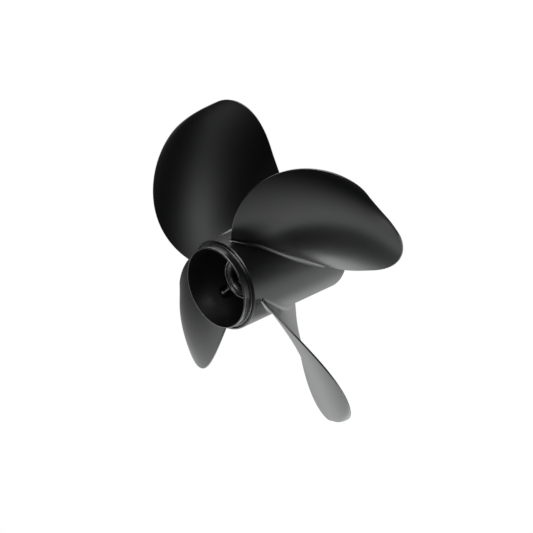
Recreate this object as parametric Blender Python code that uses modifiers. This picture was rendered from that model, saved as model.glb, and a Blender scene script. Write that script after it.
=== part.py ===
"""Four-blade boat propeller with a through-hub exhaust, modelled in metres with +Z up.

The shaft runs along Y. The front end, which meets the gearcase, points to -Y, and the boat pushes that way.
The origin is on the shaft axis, in the plane of the splined sleeve's front face.
"""

import math

import bmesh
import bpy
from mathutils import Matrix

# Barrel
BARREL_RADIUS = 0.0470
BARREL_BORE_RADIUS = 0.0400
BARREL_LENGTH = 0.1450
REAR_CHAMFER = 0.0012

# Stepped lip at the front of the barrel
LIP_LENGTH = 0.0102
LIP_RADIUS = 0.0436
MOUTH_RADIUS = 0.0414
MOUTH_FLARE_LENGTH = 0.0060
GROOVE_RADIUS = 0.0418
GROOVE_PLACE = 0.0091
GROOVE_WIDTH = 0.0014
GROOVE_BRIM = 0.0004
SHOULDER_ROUND = 0.0010

# Inner hub, rubber bush and splined sleeve, all measured back from the mouth
INNER_HUB_RADIUS = 0.0224
INNER_HUB_BORE_RADIUS = 0.0195
INNER_HUB_FRONT = 0.0335
INNER_HUB_REAR = 0.1300
INNER_HUB_ROUND = 0.0008
BUSH_FRONT = 0.0350
BUSH_REAR = 0.1265
BUSH_BORE_RADIUS = 0.0157
BUSH_CHAMFER = 0.0010
SLEEVE_FRONT = 0.0360
SLEEVE_REAR = 0.1285
SLEEVE_RADIUS = 0.0154
SLEEVE_SEAT_RADIUS = 0.0142
SPLINE_MINOR_RADIUS = 0.0124
SPLINE_MAJOR_RADIUS = 0.0136
SPLINE_COUNT = 15
SPLINE_GROOVE_SHARE = 0.5

# Ribs between the barrel and the inner hub, one below each blade
RIB_THICKNESS = 0.0034
RIB_FRONT = 0.0355
RIB_REAR = 0.1270
RIB_FOOT_ROUND = 0.0050
RIB_HUB_ROUND = 0.0030

# Blades: pitch, rake, camber and outline between the barrel (root), half way out, and the tip
BLADE_ANGLES = (45.0, 135.0, 225.0, 315.0)
TIP_RADIUS = 0.1777
BLADE_PLACE = 0.0670
PITCH_ROOT = 0.417
PITCH_MIDDLE = 0.509
PITCH_TIP = 0.497
RAKE_MIDDLE = -0.0081
RAKE_TIP = -0.0021
CAMBER_ROOT = 0.0108
CAMBER_MIDDLE = 0.0089
CAMBER_TIP = 0.0200
CUP = -0.0030
CUP_START = 0.3
LEAD_ANGLE_ROOT = math.radians(20.7)
LEAD_ANGLE_TIP = math.radians(-3.0)
LEAD_ROUND_ANGLE = math.radians(19.5)
LEAD_ROUND_POWER = 4.3
TRAIL_ANGLE_ROOT = math.radians(-20.4)
TRAIL_ANGLE_TIP = math.radians(-16.4)
TRAIL_RISE_SPAN = 0.54
TRAIL_ROUND_ANGLE = math.radians(18.3)
TRAIL_ROUND_POWER = 2.7
THICKNESS_ROOT = 0.0080
THICKNESS_TIP = 0.0026
EDGE_THICKNESS = 0.0018
ROOT_FILLET = 0.0060
ROOT_SINK = 0.0030

# Finishes
BLACK_COATING = (0.010, 0.011, 0.011)
BLACK_RUBBER = (0.012, 0.012, 0.012)
DARK_STEEL = (0.020, 0.020, 0.020)

# Clearance between pieces that touch, and how finely round shapes are cut
GAP = 0.0003
CUTTER_OVERHANG = 0.0100
TURN_STEPS = 72
CHORD_STEPS = 14
SPAN_STEPS = 15
FILLET_STEPS = 4
ROUND_STEPS = 4

MERGE_DISTANCE = 0.00001
SHARP_ANGLE = math.radians(35.0)
ALONG_SHAFT = Matrix.Rotation(math.radians(-90.0), 4, "X")
FROM_MOUTH = Matrix.Translation((0.0, -SLEEVE_FRONT, 0.0))


def clear_scene():
    for old in list(bpy.data.objects):
        bpy.data.objects.remove(old, do_unlink=True)


def new_collection(name):
    collection = bpy.data.collections.new(name)
    bpy.context.scene.collection.children.link(collection)
    return collection


def new_material(name, colour, roughness, metallic):
    material = bpy.data.materials.new(name)
    material.use_nodes = True
    shader = material.node_tree.nodes["Principled BSDF"]
    shader.inputs["Base Color"].default_value = (*colour, 1.0)
    shader.inputs["Roughness"].default_value = roughness
    shader.inputs["Metallic"].default_value = metallic
    material.diffuse_color = (*colour, 1.0)
    return material


def add_object(name, data, collection):
    piece = bpy.data.objects.new(name, data)
    collection.objects.link(piece)
    return piece


def settle(piece, material):
    """Turn a curve or a modified mesh into a plain mesh in place, and shade it."""
    evaluated = piece.evaluated_get(bpy.context.evaluated_depsgraph_get())
    mesh = bpy.data.meshes.new_from_object(evaluated)
    name, place = piece.name, piece.matrix_world.copy()
    collection = piece.users_collection[0]
    bpy.data.objects.remove(piece, do_unlink=True)
    shape = bmesh.new()
    shape.from_mesh(mesh)
    bmesh.ops.remove_doubles(shape, verts=shape.verts, dist=MERGE_DISTANCE)
    shape.to_mesh(mesh)
    shape.free()
    mesh.name = name
    mesh.shade_smooth()
    mesh.set_sharp_from_angle(angle=SHARP_ANGLE)
    mesh.materials.clear()
    if material:
        mesh.materials.append(material)
    settled = add_object(name, mesh, collection)
    settled.matrix_world = place
    return settled


def turned(name, profile, collection, material):
    """Turn a closed profile of (radius, distance behind the mouth) about the shaft axis."""
    mesh = bpy.data.meshes.new(name)
    points = [(radius, 0.0, place) for radius, place in profile]
    edges = [(i, (i + 1) % len(points)) for i in range(len(points))]
    mesh.from_pydata(points, edges, [])
    piece = add_object(name, mesh, collection)
    piece.matrix_world = FROM_MOUTH @ ALONG_SHAFT
    screw = piece.modifiers.new("turn", "SCREW")
    screw.steps = TURN_STEPS
    screw.render_steps = TURN_STEPS
    screw.use_merge_vertices = True
    screw.merge_threshold = MERGE_DISTANCE
    bpy.context.view_layer.update()
    return settle(piece, material)


def extruded(name, outline, front, rear, collection, material):
    """Extrude a flat outline of (x, y) points along the shaft between two distances behind the mouth."""
    curve = bpy.data.curves.new(name, "CURVE")
    curve.dimensions = "2D"
    curve.fill_mode = "BOTH"
    curve.extrude = (rear - front) / 2
    spline = curve.splines.new("POLY")
    spline.points.add(len(outline) - 1)
    for point, (x, y) in zip(spline.points, outline):
        point.co = (x, y, 0.0, 1.0)
    spline.use_cyclic_u = True
    piece = add_object(name, curve, collection)
    middle = Matrix.Translation((0.0, (front + rear) / 2, 0.0))
    piece.matrix_world = FROM_MOUTH @ middle @ ALONG_SHAFT
    bpy.context.view_layer.update()
    return settle(piece, material)


def arc(centre, radius, start, end, steps):
    """Points on an arc, with angles in degrees."""
    points = []
    for step in range(steps + 1):
        angle = math.radians(start + (end - start) * step / steps)
        points.append((centre[0] + radius * math.cos(angle), centre[1] + radius * math.sin(angle)))
    return points


def barrel_profile():
    """Outer side from the rear to the mouth, with the stepped lip, then back along the bore."""
    corner = (BARREL_RADIUS - SHOULDER_ROUND, LIP_LENGTH + SHOULDER_ROUND)
    groove_rear = GROOVE_PLACE + GROOVE_WIDTH / 2
    groove_front = GROOVE_PLACE - GROOVE_WIDTH / 2
    rear_corner = [
        (BARREL_RADIUS - REAR_CHAMFER, BARREL_LENGTH),
        (BARREL_RADIUS, BARREL_LENGTH - REAR_CHAMFER),
    ]
    shoulder = arc(corner, SHOULDER_ROUND, 0.0, -90.0, 3)
    lip_corner = arc((LIP_RADIUS - SHOULDER_ROUND, SHOULDER_ROUND), SHOULDER_ROUND, 0.0, -90.0, 3)
    groove = [
        (LIP_RADIUS - GROOVE_BRIM, LIP_LENGTH),
        (GROOVE_RADIUS, groove_rear),
        (GROOVE_RADIUS, groove_front),
        (LIP_RADIUS - GROOVE_BRIM, groove_front - GROOVE_WIDTH),
    ]
    bore = [
        (MOUTH_RADIUS, 0.0),
        (BARREL_BORE_RADIUS, MOUTH_FLARE_LENGTH),
        (BARREL_BORE_RADIUS, BARREL_LENGTH),
    ]
    return rear_corner + shoulder + groove + lip_corner + bore


def inner_hub_profile():
    """A tube whose front and rear rims are rounded on the outside."""
    edge = INNER_HUB_RADIUS - INNER_HUB_ROUND
    rear = arc((edge, INNER_HUB_REAR - INNER_HUB_ROUND), INNER_HUB_ROUND, 90.0, 0.0, 3)
    front = arc((edge, INNER_HUB_FRONT + INNER_HUB_ROUND), INNER_HUB_ROUND, 0.0, -90.0, 3)
    bore = [
        (INNER_HUB_BORE_RADIUS + INNER_HUB_ROUND, INNER_HUB_FRONT),
        (INNER_HUB_BORE_RADIUS, INNER_HUB_FRONT + INNER_HUB_ROUND),
        (INNER_HUB_BORE_RADIUS, INNER_HUB_REAR),
    ]
    return rear + front + bore


def bush_profile():
    """The rubber tube pressed between the inner hub and the sleeve."""
    outer = INNER_HUB_BORE_RADIUS - GAP
    inner = BUSH_BORE_RADIUS
    return [
        (outer, BUSH_REAR),
        (outer, BUSH_FRONT + BUSH_CHAMFER),
        (outer - BUSH_CHAMFER, BUSH_FRONT),
        (inner, BUSH_FRONT),
        (inner, BUSH_REAR),
    ]


def sleeve_profile():
    """The sleeve before its splines are cut, with a cone at the front that the thrust washer seats in."""
    cone = SLEEVE_SEAT_RADIUS - SPLINE_MINOR_RADIUS
    return [
        (SLEEVE_RADIUS, SLEEVE_REAR),
        (SLEEVE_RADIUS, SLEEVE_FRONT),
        (SLEEVE_SEAT_RADIUS, SLEEVE_FRONT),
        (SPLINE_MINOR_RADIUS, SLEEVE_FRONT + cone),
        (SPLINE_MINOR_RADIUS, SLEEVE_REAR),
    ]


def spline_outline():
    """The outline of the splined shaft, which is cut out of the sleeve."""
    inside = SPLINE_MINOR_RADIUS - 2 * GAP
    pitch_angle = 360.0 / SPLINE_COUNT
    groove_angle = pitch_angle * SPLINE_GROOVE_SHARE
    points = []
    for tooth in range(SPLINE_COUNT):
        middle = tooth * pitch_angle
        for radius, side in (
            (inside, -0.5),
            (SPLINE_MAJOR_RADIUS, -0.4),
            (SPLINE_MAJOR_RADIUS, 0.4),
            (inside, 0.5),
        ):
            angle = math.radians(middle + side * groove_angle)
            points.append((radius * math.cos(angle), radius * math.sin(angle)))
    return points


def rib_outline():
    """Cross-section of the rib that points along +X, flared where it meets the inner hub and the barrel."""
    inner = INNER_HUB_RADIUS + GAP
    outer = BARREL_BORE_RADIUS - GAP
    half = RIB_THICKNESS / 2
    hub_half = half + RIB_HUB_ROUND
    foot_half = half + RIB_FOOT_ROUND
    hub_angle = math.degrees(math.asin(hub_half / inner))
    foot_angle = math.degrees(math.asin(foot_half / outer))
    hub_centre = (math.sqrt(inner**2 - hub_half**2) + RIB_HUB_ROUND, hub_half)
    foot_centre = (math.sqrt(outer**2 - foot_half**2) - RIB_FOOT_ROUND, foot_half)
    flare = arc(hub_centre, RIB_HUB_ROUND, 180.0, 270.0, ROUND_STEPS)
    foot = arc(foot_centre, RIB_FOOT_ROUND, 270.0, 360.0, ROUND_STEPS)
    side = [point for point in flare if math.hypot(*point) > inner] + foot[:-1]
    mirrored = [(x, -y) for x, y in reversed(side)]
    hub_end = arc((0.0, 0.0), inner, -hub_angle, hub_angle, 2 * ROUND_STEPS)
    barrel_end = arc((0.0, 0.0), outer, foot_angle, -foot_angle, 2 * ROUND_STEPS)
    return hub_end + side + barrel_end + mirrored


def between(root, middle, tip, span):
    """A parabola through the values at the barrel, half way out and at the tip."""
    return root * (1 - span) * (1 - 2 * span) + middle * 4 * span * (1 - span) + tip * span * (2 * span - 1)


def soft_step(value):
    value = min(max(value, 0.0), 1.0)
    return value * value * (3 - 2 * value)


def fullness(span, power):
    """How much of the rounding angle is left at this span: 1 at the barrel, falling steeply to 0 at the tip."""
    return math.sqrt(max(1 - span**power, 0.0))


def blade_edges(span):
    """Angles of the leading and the trailing edge, measured from the blade's own direction."""
    lead = LEAD_ANGLE_ROOT + (LEAD_ANGLE_TIP - LEAD_ANGLE_ROOT) * span
    trail_rise = (TRAIL_ANGLE_TIP - TRAIL_ANGLE_ROOT) * soft_step(span / TRAIL_RISE_SPAN)
    trail = TRAIL_ANGLE_ROOT + trail_rise
    lead += LEAD_ROUND_ANGLE * fullness(span, LEAD_ROUND_POWER)
    trail -= TRAIL_ROUND_ANGLE * fullness(span, TRAIL_ROUND_POWER)
    return lead, trail


def blade_lead(span):
    """How far the helical surface advances along the shaft for each radian."""
    return between(PITCH_ROOT, PITCH_MIDDLE, PITCH_TIP, span) / (2 * math.pi)


def mean_line(span, chordwise):
    """Angle and place along the shaft on the middle surface: chordwise is -1 leading and 1 trailing."""
    lead_edge, trail_edge = blade_edges(span)
    half_chord = (lead_edge - trail_edge) / 2
    angle = (lead_edge + trail_edge) / 2 - chordwise * half_chord
    camber = between(CAMBER_ROOT, CAMBER_MIDDLE, CAMBER_TIP, span) * half_chord * (1 - chordwise**2)
    cup = CUP * (max(chordwise - CUP_START, 0.0) / (1 - CUP_START)) ** 2
    place = BLADE_PLACE - blade_lead(span) * angle + between(0.0, RAKE_MIDDLE, RAKE_TIP, span) - camber + cup
    return angle, place


def root_swell(height):
    """Extra half thickness of the fillet, at a height above the barrel."""
    depth = ROOT_FILLET - min(max(height, 0.0), ROOT_FILLET)
    return ROOT_FILLET - math.sqrt(ROOT_FILLET**2 - depth**2)


def section_point(radius, span, chordwise, along, across):
    """A point beside the mean line, moved along and across the helix on the cylinder of this radius."""
    angle, place = mean_line(span, chordwise)
    lead = blade_lead(span)
    slant = math.hypot(radius, lead)
    shift = (-along * radius - across * lead) / slant
    angle += shift / radius
    place += (along * lead - across * radius) / slant
    return (radius * math.cos(angle), place, radius * math.sin(angle))


def blade_section(radius):
    """Closed loop of points round the blade at one radius: front face, trailing edge, rear face, leading edge."""
    span = max(radius - BARREL_RADIUS, 0.0) / (TIP_RADIUS - BARREL_RADIUS)
    swell = root_swell(radius - BARREL_RADIUS)
    edge = EDGE_THICKNESS / 2
    middle = (THICKNESS_ROOT + (THICKNESS_TIP - THICKNESS_ROOT) * span) / 2
    chord = [-math.cos(math.pi * step / CHORD_STEPS) for step in range(CHORD_STEPS + 1)]
    halves = [edge + (middle - edge) * (1 - c**2) + swell for c in chord]
    front = [section_point(radius, span, c, 0.0, h) for c, h in zip(chord, halves)]
    rear = [section_point(radius, span, c, 0.0, -h) for c, h in zip(chord, halves)]
    trailing, leading = [], []
    for step in range(1, ROUND_STEPS):
        turn = math.pi * step / ROUND_STEPS
        along = (edge + swell) * math.sin(turn)
        across = (edge + swell) * math.cos(turn)
        trailing.append(section_point(radius, span, 1.0, along, across))
        leading.append(section_point(radius, span, -1.0, -along, -across))
    return front + trailing + rear[::-1] + leading


def blade_radii():
    """Radii of the sections: inside the barrel, up the fillet, and out to the tip, closer near the tip."""
    top = BARREL_RADIUS + ROOT_FILLET
    fillet = [top - ROOT_FILLET * math.cos(math.pi / 2 * step / FILLET_STEPS) for step in range(FILLET_STEPS)]
    outer = [top + (TIP_RADIUS - top) * math.sin(math.pi / 2 * step / SPAN_STEPS) for step in range(SPAN_STEPS + 1)]
    return [BARREL_RADIUS - ROOT_SINK] + fillet + outer


def blade_mesh(name):
    """Loft the sections into one closed blade that points along +X."""
    shape = bmesh.new()
    rings = [[shape.verts.new(point) for point in blade_section(radius)] for radius in blade_radii()]
    for lower, upper in zip(rings, rings[1:]):
        for step in range(len(lower)):
            following = (step + 1) % len(lower)
            shape.faces.new((lower[step], lower[following], upper[following], upper[step]))
    shape.faces.new(rings[0])
    shape.faces.new(rings[-1])
    bmesh.ops.triangulate(shape, faces=shape.faces)
    bmesh.ops.recalc_face_normals(shape, faces=shape.faces)
    mesh = bpy.data.meshes.new(name)
    shape.to_mesh(mesh)
    shape.free()
    return mesh


def add_cutter(piece, cutter):
    """Cut one object out of another, and keep the cutter out of sight."""
    cut = piece.modifiers.new("cut", "BOOLEAN")
    cut.operation = "DIFFERENCE"
    cut.solver = "EXACT"
    cut.object = cutter
    cutter.hide_render = True
    cutter.display_type = "WIRE"
    bpy.context.view_layer.update()


def make_blades(parts, cutters):
    material = new_material("blade_coating", BLACK_COATING, 0.32, 0.0)
    bpy.ops.mesh.primitive_cylinder_add(
        vertices=2 * TURN_STEPS,
        radius=BARREL_RADIUS + GAP,
        depth=2 * BARREL_LENGTH,
        location=(0.0, BARREL_LENGTH / 2, 0.0),
        rotation=(math.radians(90.0), 0.0, 0.0),
    )
    clearance = bpy.context.object
    clearance.name = "barrel_clearance"
    for collection in clearance.users_collection:
        collection.objects.unlink(clearance)
    cutters.objects.link(clearance)
    for number, angle in enumerate(BLADE_ANGLES, 1):
        name = f"blade_{number}"
        piece = add_object(name, blade_mesh(name), parts)
        piece.matrix_world = Matrix.Rotation(math.radians(-angle), 4, "Y") @ FROM_MOUTH
        add_cutter(piece, clearance)
        settle(piece, material)


def make_barrel(parts):
    material = new_material("barrel_coating", BLACK_COATING, 0.34, 0.0)
    turned("hub_barrel", barrel_profile(), parts, material)


def make_inner_hub(parts):
    material = new_material("inner_hub_coating", BLACK_COATING, 0.36, 0.0)
    turned("inner_hub", inner_hub_profile(), parts, material)


def make_ribs(parts):
    material = new_material("rib_coating", BLACK_COATING, 0.36, 0.0)
    for number, angle in enumerate(BLADE_ANGLES, 1):
        rib = extruded(f"rib_{number}", rib_outline(), RIB_FRONT, RIB_REAR, parts, material)
        rib.matrix_world = Matrix.Rotation(math.radians(-angle), 4, "Y") @ rib.matrix_world


def make_bush(parts):
    material = new_material("bush_rubber", BLACK_RUBBER, 0.65, 0.0)
    turned("rubber_bush", bush_profile(), parts, material)


def make_sleeve(parts, cutters):
    material = new_material("sleeve_metal", DARK_STEEL, 0.38, 1.0)
    sleeve = turned("splined_sleeve", sleeve_profile(), parts, material)
    front, rear = SLEEVE_FRONT - CUTTER_OVERHANG, SLEEVE_REAR + CUTTER_OVERHANG
    shaft = extruded("spline_cutter", spline_outline(), front, rear, cutters, None)
    add_cutter(sleeve, shaft)
    settle(sleeve, material)


def main():
    clear_scene()
    parts = new_collection("boat_propeller")
    cutters = new_collection("cutters")
    make_barrel(parts)
    make_inner_hub(parts)
    make_ribs(parts)
    make_bush(parts)
    make_sleeve(parts, cutters)
    make_blades(parts, cutters)


main()
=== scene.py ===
# %% [markdown]
# This lesson dresses a four-blade boat propeller of the kind that an outboard or sterndrive turns. The real
# one is a single aluminium casting under a satin black coating, with a rubber bush and a splined steel
# sleeve pressed into its middle. The exhaust leaves through the ring of space between the barrel and the
# inner hub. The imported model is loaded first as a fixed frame. Its solids already hold every main size, so
# this script reads those sizes from it, and only adds what a faceted solid leaves out: fine curves,
# fillets, finish and light.

# %% Load the frame
import math

import bmesh
import bpy
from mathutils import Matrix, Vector


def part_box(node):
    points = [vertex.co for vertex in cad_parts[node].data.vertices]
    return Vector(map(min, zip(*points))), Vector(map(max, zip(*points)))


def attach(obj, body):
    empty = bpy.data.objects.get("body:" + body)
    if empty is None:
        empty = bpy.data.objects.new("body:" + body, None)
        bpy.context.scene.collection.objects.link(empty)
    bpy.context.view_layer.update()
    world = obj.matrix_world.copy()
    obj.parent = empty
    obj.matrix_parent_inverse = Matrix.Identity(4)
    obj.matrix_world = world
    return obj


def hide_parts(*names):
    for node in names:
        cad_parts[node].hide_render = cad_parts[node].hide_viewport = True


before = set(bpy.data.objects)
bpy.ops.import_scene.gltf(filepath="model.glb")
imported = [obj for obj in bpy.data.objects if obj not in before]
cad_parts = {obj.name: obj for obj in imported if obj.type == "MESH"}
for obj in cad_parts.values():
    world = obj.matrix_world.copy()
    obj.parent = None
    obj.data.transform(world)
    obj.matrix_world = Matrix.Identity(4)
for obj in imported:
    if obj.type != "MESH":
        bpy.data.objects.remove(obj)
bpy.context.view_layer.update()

# %% [markdown]
# The shaft runs along Y, and the mouth of the barrel faces -Y. Almost everything here is round about that
# axis, so two kinds of size matter: how far out a piece reaches, and where it starts and ends along the
# shaft. They could be typed again, but reading them from the frame means that the looks can't drift from
# the solids. The blades alone are trimmed by a twentieth of a millimetre at their tips, which are round
# here and faceted in the solids, so that the finished propeller stays inside the box of the solids.

# %% Read the sizes from the frame
def distances(node):
    """Distance of each corner of a node from the shaft axis."""
    return [math.hypot(corner.co.x, corner.co.z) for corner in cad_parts[node].data.vertices]


def ends(node):
    """Front and rear of a node along the shaft."""
    low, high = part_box(node)
    return low[1], high[1]


MOUTH, BARREL_REAR = ends("hub_barrel")
BARREL_RADIUS = max(distances("hub_barrel"))
BORE_RADIUS = min(distances("hub_barrel"))
HUB_FRONT, HUB_REAR = ends("inner_hub")
HUB_RADIUS = max(distances("inner_hub"))
HUB_BORE_RADIUS = min(distances("inner_hub"))
BUSH_FRONT, BUSH_REAR = ends("rubber_bush")
SLEEVE_FRONT, SLEEVE_REAR = ends("splined_sleeve")
TIP_TRIM = 0.00005
TIP_RADIUS = max(distances("blade_1")) - TIP_TRIM
print(f"barrel radius {BARREL_RADIUS:.4f}, tip radius {TIP_RADIUS:.4f}, mouth at {MOUTH:.4f}")

# %% [markdown]
# Each finished mesh becomes a piece in the same way: it is shaded smooth except at its real corners, it
# moves with the one body, and it stands in for its plain solid. Doing this in one helper keeps the later
# cells short.

# %% Put a finished mesh in the scene
SHARP_ANGLE = math.radians(32.0)
MERGE_DISTANCE = 0.000001
pieces_with_finish = {}


def show(thing):
    """Put an object in the scene."""
    bpy.context.scene.collection.objects.link(thing)


def add_piece(name, mesh, node, slot):
    """Show this mesh in place of a node, with the finish of a material slot."""
    mesh.shade_smooth()
    mesh.set_sharp_from_angle(angle=SHARP_ANGLE)
    piece = bpy.data.objects.new(name, mesh)
    show(piece)
    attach(piece, "root")
    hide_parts(node)
    pieces_with_finish.setdefault(slot, []).append(piece)
    return piece


def tidy_mesh(name, shape):
    """Weld a bmesh, turn its faces outwards and store it."""
    bmesh.ops.remove_doubles(shape, verts=shape.verts, dist=MERGE_DISTANCE)
    bmesh.ops.recalc_face_normals(shape, faces=shape.faces)
    mesh = bpy.data.meshes.new(name)
    shape.to_mesh(mesh)
    shape.free()
    return mesh


# %% [markdown]
# The barrel, the inner hub and the bush are turned shapes. A lathe artist draws half of the section and
# spins it, and Blender's Screw modifier does the same. The corners are worth care: a cast and painted edge
# is never a knife edge, and its small round is what catches the light. The helper below rounds every corner
# of an outline. It also adds a holding point on either side of each round, so that smooth shading doesn't
# bend the flat stretches.

# %% Round the corners of an outline and turn it
TURN_STEPS = 288
ROUND_STEPS = 5


def rounded(corners):
    """Round a closed outline of corners (radius, place along the shaft, rounding)."""
    points = []
    for index, (radius, place, rounding) in enumerate(corners):
        here = Vector((radius, place))
        to_last = Vector(corners[index - 1][:2]) - here
        to_next = Vector(corners[(index + 1) % len(corners)][:2]) - here
        u, v = to_last.normalized(), to_next.normalized()
        half = u.angle(v) / 2
        reach = rounding / math.tan(half)
        centre = here + (u + v).normalized() * rounding / math.sin(half)
        start, end = here + u * reach - centre, here + v * reach - centre
        points.append(here + u * max(reach, min(reach + rounding, to_last.length / 2)))
        turn = start.angle_signed(end)
        for step in range(ROUND_STEPS + 1):
            angle = -turn * step / ROUND_STEPS
            arm = Vector((
                start.x * math.cos(angle) - start.y * math.sin(angle),
                start.x * math.sin(angle) + start.y * math.cos(angle),
            ))
            points.append(centre + arm)
        points.append(here + v * max(reach, min(reach + rounding, to_next.length / 2)))
    return points


def turned(name, corners):
    """Spin a rounded outline about the shaft with a Screw modifier, and keep the result as a mesh."""
    outline = rounded(corners)
    mesh = bpy.data.meshes.new(name)
    edges = [(i, (i + 1) % len(outline)) for i in range(len(outline))]
    mesh.from_pydata([(point.x, point.y, 0.0) for point in outline], edges, [])
    carrier = bpy.data.objects.new(name, mesh)
    show(carrier)
    screw = carrier.modifiers.new("turn", "SCREW")
    screw.axis = "Y"
    screw.steps = TURN_STEPS
    screw.render_steps = TURN_STEPS
    screw.use_merge_vertices = True
    screw.merge_threshold = MERGE_DISTANCE
    shape = bmesh.new()
    shape.from_object(carrier, bpy.context.evaluated_depsgraph_get())
    bpy.data.objects.remove(carrier)
    return tidy_mesh(name, shape)


# %% [markdown]
# The barrel is a plain tube, but its mouth is not. The outer wall ends in a bevel. Inside it, past a narrow
# crease, stands a small round bead, and then a straight lip that slips into the gearcase. These steps make
# the fine light and dark rings round the mouth, so each has its own corner here. Inside, the bore widens a
# little towards the mouth, as the draft of a casting does, so that its core could be drawn out.

# %% Turn the barrel
LIP_RADIUS = 0.0426
LIP_ROUND = 0.0012
MOUTH_RADIUS = 0.0411
MOUTH_FLARE_LENGTH = 0.0300
BEVEL_START = 0.0096
BEVEL_END = 0.0084
BEVEL_END_RADIUS = 0.0454
BEVEL_ROUND = 0.0004
CREASE_RADIUS = 0.0445
CREASE_PLACE = 0.0101
BEAD_PLACE = 0.0079
BEAD_RADIUS = 0.0439
BEAD_ROUND = 0.0012
REAR_ROUND = 0.0012
FINE_ROUND = 0.0003
MOUTH_EDGE_ROUND = FINE_ROUND / 2
CREASE_ROUND = FINE_ROUND / 3


def barrel_corners():
    """Outline of the barrel: forward along its outside, over bevel, bead and lip, and back along the bore."""
    return [
        (BARREL_RADIUS, BARREL_REAR, REAR_ROUND),
        (BARREL_RADIUS, MOUTH + BEVEL_START, FINE_ROUND),
        (BEVEL_END_RADIUS, MOUTH + BEVEL_END, BEVEL_ROUND),
        (CREASE_RADIUS, MOUTH + CREASE_PLACE, CREASE_ROUND),
        (BEAD_RADIUS, MOUTH + CREASE_PLACE, CREASE_ROUND),
        (BEAD_RADIUS, MOUTH + BEAD_PLACE, BEAD_ROUND),
        (LIP_RADIUS, MOUTH + BEAD_PLACE, CREASE_ROUND),
        (LIP_RADIUS, MOUTH, LIP_ROUND),
        (MOUTH_RADIUS, MOUTH, MOUTH_EDGE_ROUND),
        (BORE_RADIUS, MOUTH + MOUTH_FLARE_LENGTH, FINE_ROUND),
        (BORE_RADIUS, BARREL_REAR, FINE_ROUND),
    ]


barrel_mesh = turned("barrel_casting", barrel_corners())
barrel = add_piece("barrel_casting", barrel_mesh, "hub_barrel", "barrel_coating")
print("barrel:", len(barrel.data.polygons), "faces")

# %% [markdown]
# Inside the barrel sit two more turned pieces. The inner hub is part of the casting, and the mouth shows
# its thin rounded rim with a bevel inside. The rubber bush is set back a little and lets the sleeve slip if
# a blade hits something. Its face slopes in to a fine crease, and a small lip inside that leads on to the
# sleeve.

# %% Turn the inner hub and the rubber bush
HUB_ROUND = 0.0008
HUB_RIM_RADIUS = 0.0206
HUB_BEVEL_DEPTH = 0.0013
BUSH_ROUND = 0.0015
BUSH_FACE_RISE = 0.0006
BUSH_CREASE_RADIUS = 0.0171
BUSH_CREASE_DEPTH = 0.0005
BUSH_LIP_RADIUS = 0.0169
BUSH_LIP_DEPTH = 0.0011
BUSH_RADIUS = max(distances("rubber_bush"))
BUSH_BORE_RADIUS = min(distances("rubber_bush"))

hub_corners = [
    (HUB_RADIUS, HUB_REAR, HUB_ROUND),
    (HUB_RADIUS, HUB_FRONT, HUB_ROUND),
    (HUB_RIM_RADIUS, HUB_FRONT, HUB_ROUND),
    (HUB_BORE_RADIUS, HUB_FRONT + HUB_BEVEL_DEPTH, FINE_ROUND),
    (HUB_BORE_RADIUS, HUB_REAR, HUB_ROUND),
]
bush_corners = [
    (BUSH_RADIUS, BUSH_REAR, BUSH_ROUND),
    (BUSH_RADIUS, BUSH_FRONT - BUSH_FACE_RISE, FINE_ROUND),
    (BUSH_CREASE_RADIUS, BUSH_FRONT + BUSH_CREASE_DEPTH, CREASE_ROUND),
    (BUSH_LIP_RADIUS, BUSH_FRONT, CREASE_ROUND),
    (BUSH_BORE_RADIUS, BUSH_FRONT + BUSH_LIP_DEPTH, CREASE_ROUND),
    (BUSH_BORE_RADIUS, BUSH_REAR, FINE_ROUND),
]
hub_mesh = turned("inner_hub_casting", hub_corners)
inner_hub = add_piece("inner_hub_casting", hub_mesh, "inner_hub", "inner_hub_coating")
bush = add_piece("bush_tube", turned("bush_tube", bush_corners), "rubber_bush", "bush_rubber")
print("inner hub:", len(inner_hub.data.polygons), "faces, bush:", len(bush.data.polygons), "faces")

# %% [markdown]
# The blades, the ribs and the splined sleeve are not round, but each can be drawn as a row of rings with
# the same number of points, like the ribs of a hull. A skin over the rings gives the surface. This is
# called a loft, and it gives exact control of a shape that follows a rule. Sculpting or subdividing would
# only come near to it.

# %% Skin a row of rings
def round_shaft(radius, angle, place):
    """Point at this distance from the shaft, angle round it and place along it."""
    return radius * math.cos(angle), place, radius * math.sin(angle)


def skin(name, rings, capped):
    """Cover rings of points with faces. Without caps, the last ring joins the first one."""
    shape = bmesh.new()
    rows = [[shape.verts.new(point) for point in ring] for ring in rings]
    following_rows = rows[1:] if capped else rows[1:] + rows[:1]
    for lower, upper in zip(rows, following_rows):
        for step in range(len(lower)):
            after = (step + 1) % len(lower)
            shape.faces.new((lower[step], lower[after], upper[after], upper[step]))
    if capped:
        shape.faces.new(rows[0])
        shape.faces.new(rows[-1])
    return tidy_mesh(name, shape)


# %% [markdown]
# The steel sleeve has a cone at the front that centres the thrust washer, then a short plain bore, and then
# fifteen splines down to its rear end. Its rings run along the outside, over the front and back through the
# bore. A ring is a circle in front, and from the first tooth on its radius goes in and out with the angle.

# %% Loft the splined sleeve
SPLINE_COUNT = 15
SPLINE_STEPS = 24
SPLINE_FLANK = 0.10
GROOVE_HALF = 0.25
SPLINE_START = 0.0410
SPLINE_MINOR_RADIUS = 0.0124
SPLINE_MAJOR_RADIUS = 0.0136
SLEEVE_RADIUS = max(distances("splined_sleeve"))
SEAT_RADIUS = 0.0152
SEAT_DEPTH = 0.0018
COUNTERBORE_RADIUS = 0.0139
SLEEVE_CHAMFER = 0.0001


def soft_step(value):
    """Rise smoothly from 0 to 1."""
    value = min(max(value, 0.0), 1.0)
    return value * value * (3 - 2 * value)


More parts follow.
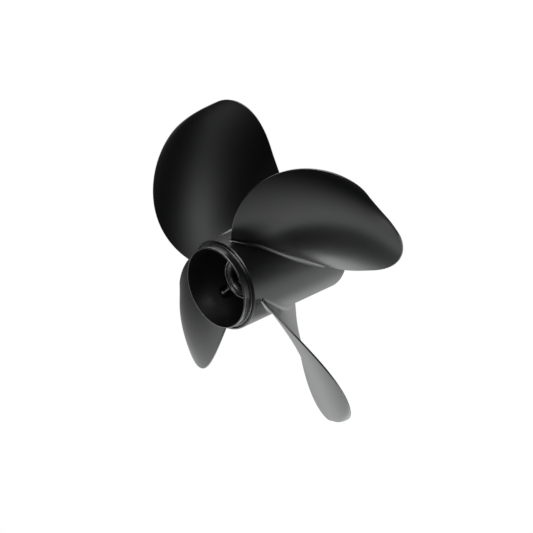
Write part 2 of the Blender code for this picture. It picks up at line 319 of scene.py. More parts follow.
def spline_radius(turn):
    """Radius of the splined bore at a part of a turn. A groove takes half of each tooth's share."""
    phase = abs((turn * SPLINE_COUNT + 0.5) % 1 - 0.5)
    depth = soft_step((GROOVE_HALF + SPLINE_FLANK / 2 - phase) / SPLINE_FLANK)
    return SPLINE_MINOR_RADIUS + (SPLINE_MAJOR_RADIUS - SPLINE_MINOR_RADIUS) * depth


def sleeve_ring(place, radius_at):
    """Ring of points round the shaft, with a radius for each part of a turn."""
    count = SPLINE_COUNT * SPLINE_STEPS
    turns = [step / count for step in range(count)]
    return [round_shaft(radius_at(turn), math.tau * turn, place) for turn in turns]


def sleeve_rings():
    """Rings of the sleeve from the rear of its outside, over the front, to the rear of its bore."""
    spline_start = MOUTH + SPLINE_START
    run_in = (SPLINE_MAJOR_RADIUS - SPLINE_MINOR_RADIUS) / 2
    plain = [
        (SLEEVE_RADIUS - SLEEVE_CHAMFER, SLEEVE_REAR),
        (SLEEVE_RADIUS, SLEEVE_REAR - SLEEVE_CHAMFER),
        (SLEEVE_RADIUS, SLEEVE_FRONT + SLEEVE_CHAMFER),
        (SLEEVE_RADIUS - SLEEVE_CHAMFER, SLEEVE_FRONT),
        (SEAT_RADIUS, SLEEVE_FRONT),
        (COUNTERBORE_RADIUS, SLEEVE_FRONT + SEAT_DEPTH),
        (COUNTERBORE_RADIUS, spline_start - FINE_ROUND),
        (SPLINE_MAJOR_RADIUS, spline_start),
    ]
    rings = [sleeve_ring(place, lambda turn, radius=radius: radius) for radius, place in plain]
    rings.append(sleeve_ring(spline_start + run_in, spline_radius))
    rings.append(sleeve_ring(SLEEVE_REAR, spline_radius))
    return rings


sleeve_mesh = skin("sleeve_splined", sleeve_rings(), capped=False)
sleeve = add_piece("sleeve_splined", sleeve_mesh, "splined_sleeve", "sleeve_metal")
print("sleeve:", len(sleeve.data.polygons), "faces,", SPLINE_COUNT, "splines")

# %% [markdown]
# Four ribs hold the inner hub in the barrel, one below each blade. A rib is a thin web with a rounded nose
# that slants back from the hub to the barrel, and it flares where it meets each wall, because a casting has
# no sharp inner corners. Each ring of its loft is the outline at one distance from the shaft: two straight
# sides joined by two half circles. The half circles grow with the flare, so the fillet also runs round the
# nose.

# %% Loft the ribs
BLADE_ANGLES = (45.0, 135.0, 225.0, 315.0)
RIB_HALF = 0.0017
RIB_NOSE_AT_HUB = 0.0345
RIB_NOSE_AT_BARREL = 0.0368
RIB_REAR = 0.1262
RIB_HUB_FILLET = 0.0030
RIB_FOOT_FILLET = 0.0050
RIB_FILLET_STEPS = 8
RIB_NOSE_STEPS = 12
RIB_SINK = 0.0008


def fillet_swell(height, fillet):
    """How much a fillet of this radius adds to one side, at a height above the wall."""
    depth = fillet - min(max(height, 0.0), fillet)
    return fillet - math.sqrt(fillet**2 - depth**2)


def rib_radii():
    """Distances from the shaft at which the rib is drawn, close together in its two fillets."""
    steps = [1 - math.cos(math.pi / 2 * step / RIB_FILLET_STEPS) for step in range(RIB_FILLET_STEPS + 1)]
    inner = [HUB_RADIUS + RIB_HUB_FILLET * step for step in steps]
    outer = [BORE_RADIUS - RIB_FOOT_FILLET * step for step in reversed(steps)]
    return [HUB_RADIUS - RIB_SINK] + inner + outer + [BORE_RADIUS + RIB_SINK]


def rib_ring(radius, angle):
    """Outline of a rib at one distance from the shaft."""
    share = (radius - HUB_RADIUS) / (BORE_RADIUS - HUB_RADIUS)
    nose = MOUTH + RIB_NOSE_AT_HUB + (RIB_NOSE_AT_BARREL - RIB_NOSE_AT_HUB) * share
    half = RIB_HALF + fillet_swell(radius - HUB_RADIUS, RIB_HUB_FILLET)
    half += fillet_swell(BORE_RADIUS - radius, RIB_FOOT_FILLET)
    front, rear = nose + RIB_HALF, MOUTH + RIB_REAR - RIB_HALF
    ring = []
    for end, way in ((rear, 1.0), (front, -1.0)):
        for step in range(RIB_NOSE_STEPS + 1):
            turn = math.pi * step / RIB_NOSE_STEPS
            across = way * half * math.cos(turn) / radius
            ring.append(round_shaft(radius, angle + across, end + way * half * math.sin(turn)))
    return ring


for number, degrees in enumerate(BLADE_ANGLES, 1):
    rings = [rib_ring(radius, math.radians(degrees)) for radius in rib_radii()]
    rib_mesh = skin(f"rib_web_{number}", rings, capped=True)
    add_piece(f"rib_web_{number}", rib_mesh, f"rib_{number}", "rib_coating")
print("ribs:", len(BLADE_ANGLES), "with", len(rib_radii()), "rings each")

# %% [markdown]
# A propeller blade is drawn the way its maker draws it, as sections wrapped round cylinders about the
# shaft. On each cylinder the blade is a strip of a helix. Its angle there is set by the pitch, which is how
# far the propeller would screw forward in one turn. The outline comes first: two edges given as angles,
# wide at the barrel and in the middle, and rounding in steeply to a short flat tip.

# %% Shape the blade's outline
LEAD_ANGLE_ROOT = math.radians(20.7)
LEAD_ANGLE_TIP = math.radians(-3.0)
LEAD_ROUND_ANGLE = math.radians(19.5)
LEAD_ROUND_POWER = 4.3
TRAIL_ANGLE_ROOT = math.radians(-20.4)
TRAIL_ANGLE_TIP = math.radians(-16.4)
TRAIL_RISE_SPAN = 0.54
TRAIL_ROUND_ANGLE = math.radians(18.3)
TRAIL_ROUND_POWER = 2.7


def fullness(span, power):
    """Share of the rounding angle that is left: 1 at the barrel, falling steeply to 0 at the tip."""
    return math.sqrt(max(1 - span**power, 0.0))


def blade_edges(span):
    """Angles of the leading and the trailing edge, measured from the blade's own direction."""
    lead = LEAD_ANGLE_ROOT + (LEAD_ANGLE_TIP - LEAD_ANGLE_ROOT) * span
    trail_rise = (TRAIL_ANGLE_TIP - TRAIL_ANGLE_ROOT) * soft_step(span / TRAIL_RISE_SPAN)
    trail = TRAIL_ANGLE_ROOT + trail_rise
    lead += LEAD_ROUND_ANGLE * fullness(span, LEAD_ROUND_POWER)
    trail -= TRAIL_ROUND_ANGLE * fullness(span, TRAIL_ROUND_POWER)
    return lead, trail


for span in (0.0, 0.5, 1.0):
    print(f"edges at span {span}:", [round(math.degrees(angle), 1) for angle in blade_edges(span)])

# %% [markdown]
# The blade isn't a plain helix. Its pitch changes from root to tip, it leans along the shaft (rake), its
# sections are arched (camber), and the trailing edge is curled a little (cup), which helps it grip the
# water. The first three have a value at the barrel, half way out and at the tip, and a parabola through
# these gives the rest.

# %% Twist, rake and camber the blade
BLADE_PLACE = 0.0670
PITCH = (0.417, 0.509, 0.497)
RAKE = (0.0, -0.0081, -0.0021)
CAMBER = (0.0108, 0.0089, 0.0200)
CUP = -0.0030
CUP_START = 0.3


def between(values, span):
    """A parabola through the values at the barrel, half way out and at the tip."""
    root, middle, tip = values
    return root * (1 - span) * (1 - 2 * span) + middle * 4 * span * (1 - span) + tip * span * (2 * span - 1)


def mean_line(span, chordwise):
    """Angle and place on the middle surface. Chordwise is -1 at the leading edge and 1 at the trailing."""
    lead_edge, trail_edge = blade_edges(span)
    half_chord = (lead_edge - trail_edge) / 2
    angle = (lead_edge + trail_edge) / 2 - chordwise * half_chord
    helix = between(PITCH, span) / math.tau * angle
    camber = between(CAMBER, span) * half_chord * (1 - chordwise**2)
    cup = CUP * (max(chordwise - CUP_START, 0.0) / (1 - CUP_START)) ** 2
    return angle, MOUTH + BLADE_PLACE - helix + between(RAKE, span) - camber + cup


print("middle of the blade at the tip:", [round(value, 4) for value in mean_line(1.0, 0.0)])

# %% [markdown]
# The thickness is laid on both sides of that middle surface: thick in the middle of the root, thin at the
# tip, with a rounded edge all round. Near the barrel a fillet widens the blade until it lies flat on the
# barrel. It is large along the faces, where the root is stressed, and small where it turns round the two
# edges. It also starts softly, with a power above 1, so no line shows where it leaves the face. The last
# points sink just below the barrel's surface, so the pieces meet without a seam, like the one casting that
# they are.

# %% Give the blade its thickness
THICKNESS_ROOT = 0.0080
THICKNESS_TIP = 0.0026
EDGE_THICKNESS = 0.0018
FILLET_HEIGHT = 0.0045
FILLET_REACH = 0.0042
FILLET_EDGE = 0.0028
FILLET_POWER = 1.1
ROOT_SINK = 0.0010
SPAN_STEPS = 96
FILLET_STEPS = 16
TIP_STEPS = 5


def quarter_turn(steps):
    """Angles from 0 up to, but not including, a quarter of a turn."""
    return [math.pi / 2 * step / steps for step in range(steps)]


def blade_levels(chordwise):
    """Pairs of radius and fillet swell at one place along the chord, from inside the barrel to the tip."""
    height = FILLET_EDGE + (FILLET_HEIGHT - FILLET_EDGE) * (1 - chordwise**2)
    reach = FILLET_EDGE + (FILLET_REACH - FILLET_EDGE) * (1 - chordwise**2)
    top, shoulder = BARREL_RADIUS + height, TIP_RADIUS - EDGE_THICKNESS / 2
    levels = [(BARREL_RADIUS - ROOT_SINK, reach)]
    for t in quarter_turn(FILLET_STEPS):
        levels.append((top - height * math.cos(t), reach * (1 - math.sin(t)) ** FILLET_POWER))
    levels += [(top + (shoulder - top) * math.sin(t), 0.0) for t in quarter_turn(SPAN_STEPS)]
    levels += [(shoulder + (TIP_RADIUS - shoulder) * math.sin(t), 0.0) for t in quarter_turn(TIP_STEPS)]
    return levels + [(TIP_RADIUS, 0.0)]


def half_thickness(radius, span, chordwise):
    """Half of the blade's thickness, without the fillet."""
    edge = EDGE_THICKNESS / 2
    middle = (THICKNESS_ROOT + (THICKNESS_TIP - THICKNESS_ROOT) * span) / 2
    past_shoulder = max(radius - TIP_RADIUS + edge, 0.0) / edge
    thinning = math.sqrt(max(1 - past_shoulder**2, 0.0))
    return (edge + (middle - edge) * (1 - chordwise**2)) * thinning


def blade_column(chordwise, along, across):
    """Points (radius, angle, place) up the blade, off the middle surface along and across the helix."""
    column = []
    for radius, swell in blade_levels(chordwise):
        span = max(radius - BARREL_RADIUS, 0.0) / (TIP_RADIUS - BARREL_RADIUS)
        half = half_thickness(radius, span, chordwise) + swell
        angle, place = mean_line(span, chordwise)
        lead = between(PITCH, span) / math.tau
        slant = math.hypot(radius, lead)
        angle -= half * (along * radius + across * lead) / slant / radius
        place += half * (along * lead - across * radius) / slant
        column.append((radius, angle, place))
    return column


print("levels up the blade:", len(blade_levels(0.0)))

# %% [markdown]
# A loop of such columns runs along the front face, round the trailing edge, back along the rear face and
# round the leading edge. The four blades are the same shape at four angles. Each is made in place, which
# keeps its object at the origin like the solid that it stands for.

# %% Loft the blades
CHORD_STEPS = 64
EDGE_STEPS = 10


def blade_loop():
    """Places round the blade as (chordwise, along, across)."""
    chord = [-math.cos(math.pi * step / CHORD_STEPS) for step in range(CHORD_STEPS + 1)]
    turns = [math.pi * step / EDGE_STEPS for step in range(1, EDGE_STEPS)]
    front = [(c, 0.0, 1.0) for c in chord]
    trailing = [(1.0, math.sin(t), math.cos(t)) for t in turns]
    rear = [(c, 0.0, -1.0) for c in reversed(chord)]
    leading = [(-1.0, -math.sin(t), -math.cos(t)) for t in turns]
    return front + trailing + rear + leading


blade_rings = list(zip(*(blade_column(*spot) for spot in blade_loop())))
for number, degrees in enumerate(BLADE_ANGLES, 1):
    turn = math.radians(degrees)
    rings = []
    for ring in blade_rings:
        rings.append([round_shaft(radius, turn + angle, place) for radius, angle, place in ring])
    blade_mesh = skin(f"blade_casting_{number}", rings, capped=True)
    blade = add_piece(f"blade_casting_{number}", blade_mesh, f"blade_{number}", "blade_coating")
    print(blade.name, len(blade.data.polygons), "faces")

# %% [markdown]
# A few small helpers keep the node cells readable: one names a group's sockets, one adds a node, one sets
# numbers straight on a node's own sockets, where the exporter can find them, and one starts a material. A
# Mix node has a set of sockets for each kind of value, all with the same names, so those go by number here.

# %% Helpers for nodes
MIX_FACTOR = 0
MIX_NUMBER_A, MIX_NUMBER_B, MIX_NUMBER_RESULT = 2, 3, 0
MIX_COLOR_A, MIX_COLOR_B, MIX_COLOR_RESULT = 6, 7, 2


def add_socket(group, name, kind, way, value=None):
    """Give a node group a named input or output."""
    socket = group.interface.new_socket(name=name, in_out=way, socket_type=kind)
    if value is not None:
        socket.default_value = value


def new_node(tree, kind, **values):
    """Add a node and set its plain properties."""
    node = tree.nodes.new(kind)
    for key, value in values.items():
        setattr(node, key, value)
    return node


def set_sockets(node, **values):
    """Set input sockets by name, with underscores for spaces."""
    for name, value in values.items():
        node.inputs[name.replace("_", " ")].default_value = value


def new_material(name):
    """Start a material, and give it with its node tree and its shader."""
    material = bpy.data.materials.new(name)
    material.use_nodes = True
    return material, material.node_tree, material.node_tree.nodes["Principled BSDF"]


print("helpers ready")

# %% [markdown]
# The casting is shot-blasted, primed and sprayed, so its black is not quite even. Sprayed paint dries with
# a fine ripple, called orange peel, and lies a little thicker in some places, which shifts its gloss. An
# image texture would need unwrapping and has one fixed grain, so a node group makes both from noise in the
# object's own space, once, and each black paint places it with its own values.

# %% Build the sprayed coating group
def sprayed_coating_group():
    """Colour, roughness and height of a sprayed black coating."""
    group = bpy.data.node_groups.new("sprayed_coating", "ShaderNodeTree")
    add_socket(group, "Thin Color", "NodeSocketColor", "INPUT", (0.02, 0.02, 0.02, 1.0))
    add_socket(group, "Thick Color", "NodeSocketColor", "INPUT", (0.01, 0.01, 0.01, 1.0))
    add_socket(group, "Low Roughness", "NodeSocketFloat", "INPUT", 0.28)
    add_socket(group, "High Roughness", "NodeSocketFloat", "INPUT", 0.34)
    add_socket(group, "Peel Scale", "NodeSocketFloat", "INPUT", 900.0)
    add_socket(group, "Cloud Scale", "NodeSocketFloat", "INPUT", 30.0)
    add_socket(group, "Color", "NodeSocketColor", "OUTPUT")
    add_socket(group, "Roughness", "NodeSocketFloat", "OUTPUT")
    add_socket(group, "Height", "NodeSocketFloat", "OUTPUT")
    given = new_node(group, "NodeGroupInput")
    result = new_node(group, "NodeGroupOutput")
    place = new_node(group, "ShaderNodeTexCoord")
    peel = new_node(group, "ShaderNodeTexNoise")
    clouds = new_node(group, "ShaderNodeTexNoise")
    tint = new_node(group, "ShaderNodeMix", data_type="RGBA")
    gloss = new_node(group, "ShaderNodeMix", data_type="FLOAT")
    set_sockets(peel, Detail=2.0)
    set_sockets(clouds, Detail=4.0)
    for texture, scale in ((peel, "Peel Scale"), (clouds, "Cloud Scale")):
        group.links.new(place.outputs["Object"], texture.inputs["Vector"])
        group.links.new(given.outputs[scale], texture.inputs["Scale"])
    for mix in (tint, gloss):
        group.links.new(clouds.outputs["Fac"], mix.inputs[MIX_FACTOR])
    group.links.new(given.outputs["Thin Color"], tint.inputs[MIX_COLOR_A])
    group.links.new(given.outputs["Thick Color"], tint.inputs[MIX_COLOR_B])
    group.links.new(given.outputs["Low Roughness"], gloss.inputs[MIX_NUMBER_A])
    group.links.new(given.outputs["High Roughness"], gloss.inputs[MIX_NUMBER_B])
    group.links.new(tint.outputs[MIX_COLOR_RESULT], result.inputs["Color"])
    group.links.new(gloss.outputs[MIX_NUMBER_RESULT], result.inputs["Roughness"])
    group.links.new(peel.outputs["Fac"], result.inputs["Height"])
    return group


sprayed_coating = sprayed_coating_group()
print("group:", sprayed_coating.name)

# %% [markdown]
# Four paints share the group. The blades are polished before they are painted, so theirs lies smoothest.
# The barrel is turned, and follows closely. Inside, the inner hub and the ribs keep the coarse skin of the
# mould. The paint is as glossy there, but it lies over a coarser and deeper relief.

# %% Mix the black paints
BLACK = (0.0005, 0.00052, 0.00052, 1.0)
BLACK_OVER_PRIMER = (0.0012, 0.0013, 0.0013, 1.0)
RELIEF_DEPTH = 0.0001


def coating_material(name, roughness, relief_strength, peel_scale):
    """A satin black paint over cast metal, with roughness as (lowest, highest)."""
    material, tree, shader = new_material(name)
    coating = new_node(tree, "ShaderNodeGroup", node_tree=sprayed_coating)
    set_sockets(coating, Thin_Color=BLACK_OVER_PRIMER, Thick_Color=BLACK, Peel_Scale=peel_scale)
    set_sockets(coating, Low_Roughness=roughness[0], High_Roughness=roughness[1])
    relief = new_node(tree, "ShaderNodeBump")
    set_sockets(relief, Strength=relief_strength, Distance=RELIEF_DEPTH)
    tree.links.new(coating.outputs["Height"], relief.inputs["Height"])
    tree.links.new(coating.outputs["Color"], shader.inputs["Base Color"])
    tree.links.new(coating.outputs["Roughness"], shader.inputs["Roughness"])
    tree.links.new(relief.outputs["Normal"], shader.inputs["Normal"])
    return material


finishes = {
    "blade_coating": coating_material("blade_paint", (0.28, 0.32), 0.10, 900.0),
    "barrel_coating": coating_material("barrel_paint", (0.28, 0.33), 0.12, 900.0),
    "inner_hub_coating": coating_material("inner_hub_paint", (0.26, 0.32), 0.25, 500.0),
    "rib_coating": coating_material("rib_paint", (0.28, 0.34), 0.25, 500.0),
}
print("paints:", ", ".join(sorted(finishes)))

# %% [markdown]
# The bush is moulded rubber. Rubber is duller than paint, and old finger marks and mould release leave soft
# patches on it that are now a little greyer, now blacker. One noise drives colour and roughness together,
# because on real rubber the greyer patches are also the drier ones. A second, fine noise gives the grain of
# the mould.

# %% Mould the rubber
RUBBER_BLACK = (0.006, 0.006, 0.006, 1.0)
RUBBER_GREY = (0.016, 0.016, 0.015, 1.0)
RUBBER_PATCH_SCALE = 120.0
RUBBER_GRAIN_SCALE = 1600.0


def rubber_material():
    """Black moulded rubber with dry, greyer patches."""
    material, tree, shader = new_material("bush_rubber")
    place = new_node(tree, "ShaderNodeTexCoord")
    patches = new_node(tree, "ShaderNodeTexNoise")
    grain = new_node(tree, "ShaderNodeTexNoise")
    shade = new_node(tree, "ShaderNodeMix", data_type="RGBA")
    dryness = new_node(tree, "ShaderNodeMapRange")
    relief = new_node(tree, "ShaderNodeBump")
    set_sockets(patches, Scale=RUBBER_PATCH_SCALE, Detail=3.0)
    set_sockets(grain, Scale=RUBBER_GRAIN_SCALE, Detail=2.0)
    shade.inputs[MIX_COLOR_A].default_value = RUBBER_BLACK
    shade.inputs[MIX_COLOR_B].default_value = RUBBER_GREY
    set_sockets(dryness, To_Min=0.28, To_Max=0.36)
    set_sockets(relief, Strength=0.3, Distance=RELIEF_DEPTH)
    for texture in (patches, grain):
        tree.links.new(place.outputs["Object"], texture.inputs["Vector"])
    tree.links.new(patches.outputs["Fac"], shade.inputs[MIX_FACTOR])
    tree.links.new(patches.outputs["Fac"], dryness.inputs["Value"])
    tree.links.new(grain.outputs["Fac"], relief.inputs["Height"])
    tree.links.new(shade.outputs[MIX_COLOR_RESULT], shader.inputs["Base Color"])
    tree.links.new(dryness.outputs["Result"], shader.inputs["Roughness"])
    tree.links.new(relief.outputs["Normal"], shader.inputs["Normal"])
    return material


finishes["bush_rubber"] = rubber_material()
print("rubber ready")

# %% [markdown]
# The sleeve is turned from steel, so a cutting tool has left fine rings on it, and it has darkened with oil
# and heat. The rings depend on the distance from the shaft on a flat face and on the place along it in the
# bore. The sum of the two changes on both, so a sine of that sum draws the tool marks everywhere with one
# formula.

# %% Turn the steel
TOOL_FEED = 0.0004
TOOL_MARK_DEPTH = TOOL_FEED / 20
STEEL_DARK = (0.035, 0.035, 0.035, 1.0)
STEEL_LIGHT = (0.07, 0.07, 0.07, 1.0)
STAIN_SCALE = 160.0
ACROSS_SHAFT = (1.0, 0.0, 1.0)


def turned_steel_material():
    """Dark steel with the rings that a lathe leaves."""
    material, tree, shader = new_material("sleeve_steel")
    place = new_node(tree, "ShaderNodeTexCoord")
    flattened = new_node(tree, "ShaderNodeVectorMath", operation="MULTIPLY")
    from_shaft = new_node(tree, "ShaderNodeVectorMath", operation="LENGTH")
    split = new_node(tree, "ShaderNodeSeparateXYZ")
    along = new_node(tree, "ShaderNodeMath", operation="ADD")
    turns = new_node(tree, "ShaderNodeMath", operation="MULTIPLY")
    rings = new_node(tree, "ShaderNodeMath", operation="SINE")
    stain = new_node(tree, "ShaderNodeTexNoise")
    shade = new_node(tree, "ShaderNodeMix", data_type="RGBA")
    wear = new_node(tree, "ShaderNodeMapRange")
    relief = new_node(tree, "ShaderNodeBump")
    flattened.inputs[1].default_value = ACROSS_SHAFT
    turns.inputs[1].default_value = math.tau / TOOL_FEED
    shade.inputs[MIX_COLOR_A].default_value = STEEL_DARK
    shade.inputs[MIX_COLOR_B].default_value = STEEL_LIGHT
    set_sockets(stain, Scale=STAIN_SCALE, Detail=4.0)
    set_sockets(wear, To_Min=0.36, To_Max=0.50)
    set_sockets(relief, Strength=0.2, Distance=TOOL_MARK_DEPTH)
    set_sockets(shader, Metallic=1.0)
    tree.links.new(place.outputs["Object"], flattened.inputs[0])
    tree.links.new(flattened.outputs["Vector"], from_shaft.inputs[0])
    tree.links.new(place.outputs["Object"], split.inputs["Vector"])
    tree.links.new(place.outputs["Object"], stain.inputs["Vector"])
    tree.links.new(from_shaft.outputs["Value"], along.inputs[0])
    tree.links.new(split.outputs["Y"], along.inputs[1])
    tree.links.new(along.outputs[0], turns.inputs[0])
    tree.links.new(turns.outputs[0], rings.inputs[0])
    tree.links.new(rings.outputs[0], relief.inputs["Height"])
    tree.links.new(stain.outputs["Fac"], shade.inputs[MIX_FACTOR])
    tree.links.new(stain.outputs["Fac"], wear.inputs["Value"])
    tree.links.new(shade.outputs[MIX_COLOR_RESULT], shader.inputs["Base Color"])
    tree.links.new(wear.outputs["Result"], shader.inputs["Roughness"])
    tree.links.new(relief.outputs["Normal"], shader.inputs["Normal"])
    return material


finishes["sleeve_metal"] = turned_steel_material()
for slot_name, slot_pieces in pieces_with_finish.items():
    for piece in slot_pieces:
        piece.data.materials.append(finishes[slot_name])
print("finished:", {slot_name: len(slot_pieces) for slot_name, slot_pieces in pieces_with_finish.items()})

# %% [markdown]
# The camera stands to the front and right, a little above the propeller, as in the photograph. A long lens
# from over a metre away keeps the near and the far blade nearly the same size. One helper gives directions
# as a turn to the right and a height above the horizon, because the lights below are placed in the same
# way.

# %% Set up the camera
CAMERA_AZIMUTH = 45.05
CAMERA_ELEVATION = 25.15
CAMERA_DISTANCE = 1.1004
CAMERA_TARGET = Vector((0.0148, 0.0214, 0.0098))
LENS_LENGTH = 73.12
SENSOR_WIDTH = 36.0


def direction(azimuth, elevation):
    """Direction from the propeller: azimuth 0 is straight ahead of the mouth and grows to the right."""
    turn, rise = math.radians(azimuth), math.radians(elevation)
    return Vector((math.sin(turn) * math.cos(rise), -math.cos(turn) * math.cos(rise), math.sin(rise)))


camera_data = bpy.data.cameras.new("camera")
camera_data.lens = LENS_LENGTH
camera_data.sensor_width = SENSOR_WIDTH
camera = bpy.data.objects.new("camera", camera_data)
camera.location = CAMERA_TARGET + direction(CAMERA_AZIMUTH, CAMERA_ELEVATION) * CAMERA_DISTANCE
camera.rotation_euler = (CAMERA_TARGET - camera.location).to_track_quat("-Z", "Y").to_euler()
show(camera)
bpy.context.scene.camera = camera
print("camera at", [round(value, 3) for value in camera.location])

# %% [markdown]
# Catalogue pictures of black parts are often taken over a sheet of white acrylic with light below it. The
# sheet looks pure white, and no shadow falls on it. The floor here does the same: a camera ray sees a white
# glow, and every other ray passes through to the lights below. Light Path tells the two kinds of ray apart.

# %% Lay the white sheet
FLOOR_PLACE = -0.60
FLOOR_HALF = 12.0
SQUARE = ((-1, -1), (1, -1), (1, 1), (-1, 1))


def sheet_material():
    """White to the camera and clear to the light."""
    material, tree, shader = new_material("lit_acrylic")
    tree.nodes.remove(shader)
    glow = new_node(tree, "ShaderNodeEmission")
    clear = new_node(tree, "ShaderNodeBsdfTransparent")
    ray = new_node(tree, "ShaderNodeLightPath")
    mix = new_node(tree, "ShaderNodeMixShader")
    tree.links.new(ray.outputs["Is Camera Ray"], mix.inputs[0])
    tree.links.new(clear.outputs[0], mix.inputs[1])
    tree.links.new(glow.outputs[0], mix.inputs[2])
    tree.links.new(mix.outputs[0], tree.nodes["Material Output"].inputs["Surface"])
    return material


floor_corners = [(x * FLOOR_HALF, y * FLOOR_HALF, FLOOR_PLACE) for x, y in SQUARE]
floor_mesh = bpy.data.meshes.new("floor")
floor_mesh.from_pydata(floor_corners, [], [(0, 1, 2, 3)])
floor_mesh.materials.append(sheet_material())
floor = bpy.data.objects.new("floor", floor_mesh)
show(floor)
print("floor at", FLOOR_PLACE)

# %% [markdown]
# A black part shows little colour of its own. What the eye reads as its shape is the studio mirrored in it,
# so the lights are placed by what they should draw on it. Each one is a soft patch of sky in the world:
# brightest in one direction, and fading evenly around it. That is softer than an area lamp, has no edge to
# show as a hard reflection, and costs no render time. One node group makes a patch, and the world adds them
# up.

# %% Build a soft light
def soft_light_group():
    """Brightness of one soft light in the direction that a ray takes."""
    group = bpy.data.node_groups.new("soft_light", "ShaderNodeTree")
    add_socket(group, "Ray", "NodeSocketVector", "INPUT")
    add_socket(group, "Toward", "NodeSocketVector", "INPUT")
    add_socket(group, "Sharpness", "NodeSocketFloat", "INPUT", 10.0)
    add_socket(group, "Strength", "NodeSocketFloat", "INPUT", 1.0)
    add_socket(group, "Others", "NodeSocketFloat", "INPUT", 0.0)
    add_socket(group, "Light", "NodeSocketFloat", "OUTPUT")
    given = new_node(group, "NodeGroupInput")
    result = new_node(group, "NodeGroupOutput")
    facing = new_node(group, "ShaderNodeVectorMath", operation="DOT_PRODUCT")
    away = new_node(group, "ShaderNodeMath", operation="SUBTRACT")
    away.inputs[1].default_value = 1.0
    fade = new_node(group, "ShaderNodeMath", operation="MULTIPLY")
    patch = new_node(group, "ShaderNodeMath", operation="EXPONENT")
    total = new_node(group, "ShaderNodeMath", operation="MULTIPLY_ADD")
    group.links.new(given.outputs["Ray"], facing.inputs[0])
    group.links.new(given.outputs["Toward"], facing.inputs[1])
    group.links.new(facing.outputs["Value"], away.inputs[0])
    group.links.new(away.outputs[0], fade.inputs[0])
    group.links.new(given.outputs["Sharpness"], fade.inputs[1])
    group.links.new(fade.outputs[0], patch.inputs[0])
    group.links.new(patch.outputs[0], total.inputs[0])
    group.links.new(given.outputs["Strength"], total.inputs[1])
    group.links.new(given.outputs["Others"], total.inputs[2])
    group.links.new(total.outputs[0], result.inputs["Light"])
    return group


soft_light = soft_light_group()
print("group:", soft_light.name)

# %% [markdown]
# Most of the light comes up from the lit sheet, and some from the walls of the tent on the right and
# behind. The tent is dark in front at the camera's height, which keeps the blades black where they face it.
# Three smaller lights above draw the soft light on what faces up and the thin lines on the edges. Each
# light is given as azimuth, elevation, sharpness and strength. Past the propeller the camera sees plain
# white, as on the sheet.

# %% Light the studio
WHITE = (1.0, 1.0, 1.0, 1.0)
LIGHT_COLOR = (0.99, 1.0, 1.0, 1.0)
STUDIO_LIGHTS = {
    "sheet_centre": (140, -78, 14, 5.4),
    "sheet_front": (54, -55, 40, 11.0),
    "sheet_left": (-90, -52, 5.5, 1.5),
    "low_left": (-32, -43, 17, 2.7),
    "low_right": (97, -25, 14, 5.9),
    "rear_wall": (168, -14, 7, 2.3),
    "rear_left_lamp": (-120, 41, 14, 8.6),
    "top_lamp": (3, 77, 27, 18.0),
    "upper_front_lamp": (6, 34, 70, 3.0),
}
world = bpy.data.worlds.new("studio")
world.use_nodes = True
sky = world.node_tree
ray_direction = new_node(sky, "ShaderNodeTexCoord")
light_so_far = None
for name, (azimuth, elevation, sharpness, strength) in STUDIO_LIGHTS.items():
    light = new_node(sky, "ShaderNodeGroup", node_tree=soft_light, label=name)
    set_sockets(light, Toward=direction(azimuth, elevation), Sharpness=sharpness, Strength=strength)
    sky.links.new(ray_direction.outputs["Generated"], light.inputs["Ray"])
    if light_so_far is not None:
        sky.links.new(light_so_far, light.inputs["Others"])
    light_so_far = light.outputs["Light"]

studio = sky.nodes["Background"]
backdrop = new_node(sky, "ShaderNodeBackground")
ray_kind = new_node(sky, "ShaderNodeLightPath")
seen = new_node(sky, "ShaderNodeMixShader")
set_sockets(backdrop, Color=WHITE)
set_sockets(studio, Color=LIGHT_COLOR)
sky.links.new(light_so_far, studio.inputs["Strength"])
sky.links.new(ray_kind.outputs["Is Camera Ray"], seen.inputs[0])
sky.links.new(studio.outputs[0], seen.inputs[1])
sky.links.new(backdrop.outputs[0], seen.inputs[2])
sky.links.new(seen.outputs[0], sky.nodes["World Output"].inputs["Surface"])
bpy.context.scene.world = world
bpy.context.scene.view_settings.view_transform = "Standard"
print("lights:", ", ".join(STUDIO_LIGHTS))

# %% [markdown]
# The tent hardly reaches the inside of the barrel, where the photograph still shows soft light on the hub's
# rings, on the nose of the rib and low on the wall. A retoucher would light such a place in a second
# exposure and lay it over the first. Lamps that only the inner pieces receive, and whose light the other
# pieces do not block, do the same in one picture. Light linking names the pieces, so nothing else grows
# brighter. The steel sleeve is left out, because the photograph shows its bore black, and the ribs have one
# broad lamp of their own. Two more light the barrel alone from the front, where only the steps of its mouth
# can mirror them. Each of these suns is given as azimuth, elevation, energy and spread. One small lamp
# inside the bore draws the soft patch low on its wall.

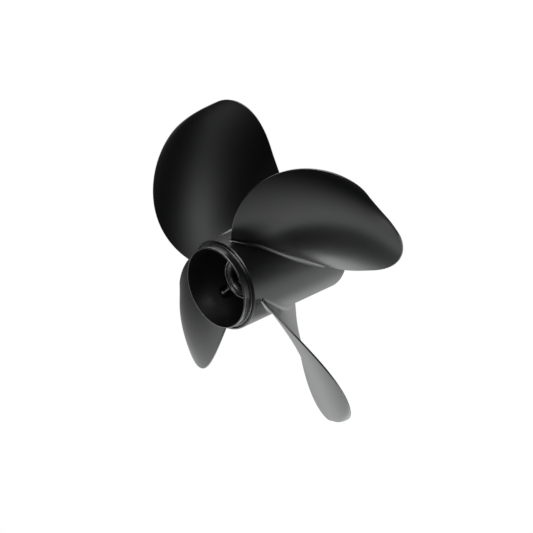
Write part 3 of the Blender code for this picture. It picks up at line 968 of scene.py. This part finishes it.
# %% Light the mouth and the inside of the barrel
INNER_SLOTS = ("inner_hub_coating", "rib_coating", "bush_rubber")
HUB_LAMPS = {
    "hub_lamp_low_left": (-38, -40, 2.6, 24),
    "hub_lamp_front": (6, 42, 0.9, 24),
    "hub_lamp_left": (-110, -42, 1.4, 40),
    "hub_lamp_right": (30, 12, 0.25, 24),
}
RIB_LAMP = (-10, -10, 1.6, 70)
MOUTH_LAMPS = {
    "mouth_lamp_front": (0, 35, 0.8, 24),
    "mouth_lamp_right": (60, 50, 0.9, 24),
}
BORE_LAMP_PLACE = Vector((-0.0128, 0.0090, 0.0079))
BORE_LAMP_ENERGY = 0.006
BORE_LAMP_RADIUS = 0.010


def linked_lamp(name, kind, energy, receivers):
    """A lamp that shines on the receivers only, and through everything else."""
    data = bpy.data.lights.new(name, kind)
    data.energy = energy
    data.use_shadow = False
    lamp = bpy.data.objects.new(name, data)
    lamp.light_linking.receiver_collection = receivers
    show(lamp)
    return lamp


def aimed_sun(name, aim, receivers):
    """A sun that shines on the receivers from one side."""
    azimuth, elevation, energy, spread = aim
    lamp = linked_lamp(name, "SUN", energy, receivers)
    lamp.data.angle = math.radians(spread)
    lamp.rotation_euler = direction(azimuth, elevation).to_track_quat("Z", "Y").to_euler()


def receiving(name, pieces):
    """A collection of the pieces that a lamp shines on."""
    collection = bpy.data.collections.new(name)
    for piece in pieces:
        collection.objects.link(piece)
    return collection


inner_pieces = [piece for slot_name in INNER_SLOTS for piece in pieces_with_finish[slot_name]]
hub_pieces = receiving("hub_pieces", inner_pieces)
for name, aim in HUB_LAMPS.items():
    aimed_sun(name, aim, hub_pieces)
aimed_sun("rib_lamp", RIB_LAMP, receiving("rib_pieces", pieces_with_finish["rib_coating"]))
barrel_alone = receiving("barrel_alone", [barrel])
for name, aim in MOUTH_LAMPS.items():
    aimed_sun(name, aim, barrel_alone)
bore_lamp = linked_lamp("bore_lamp", "POINT", BORE_LAMP_ENERGY, barrel_alone)
bore_lamp.data.shadow_soft_size = BORE_LAMP_RADIUS
bore_lamp.location = BORE_LAMP_PLACE
print("linked lamps:", ", ".join([*HUB_LAMPS, "rib_lamp", *MOUTH_LAMPS, bore_lamp.name]))
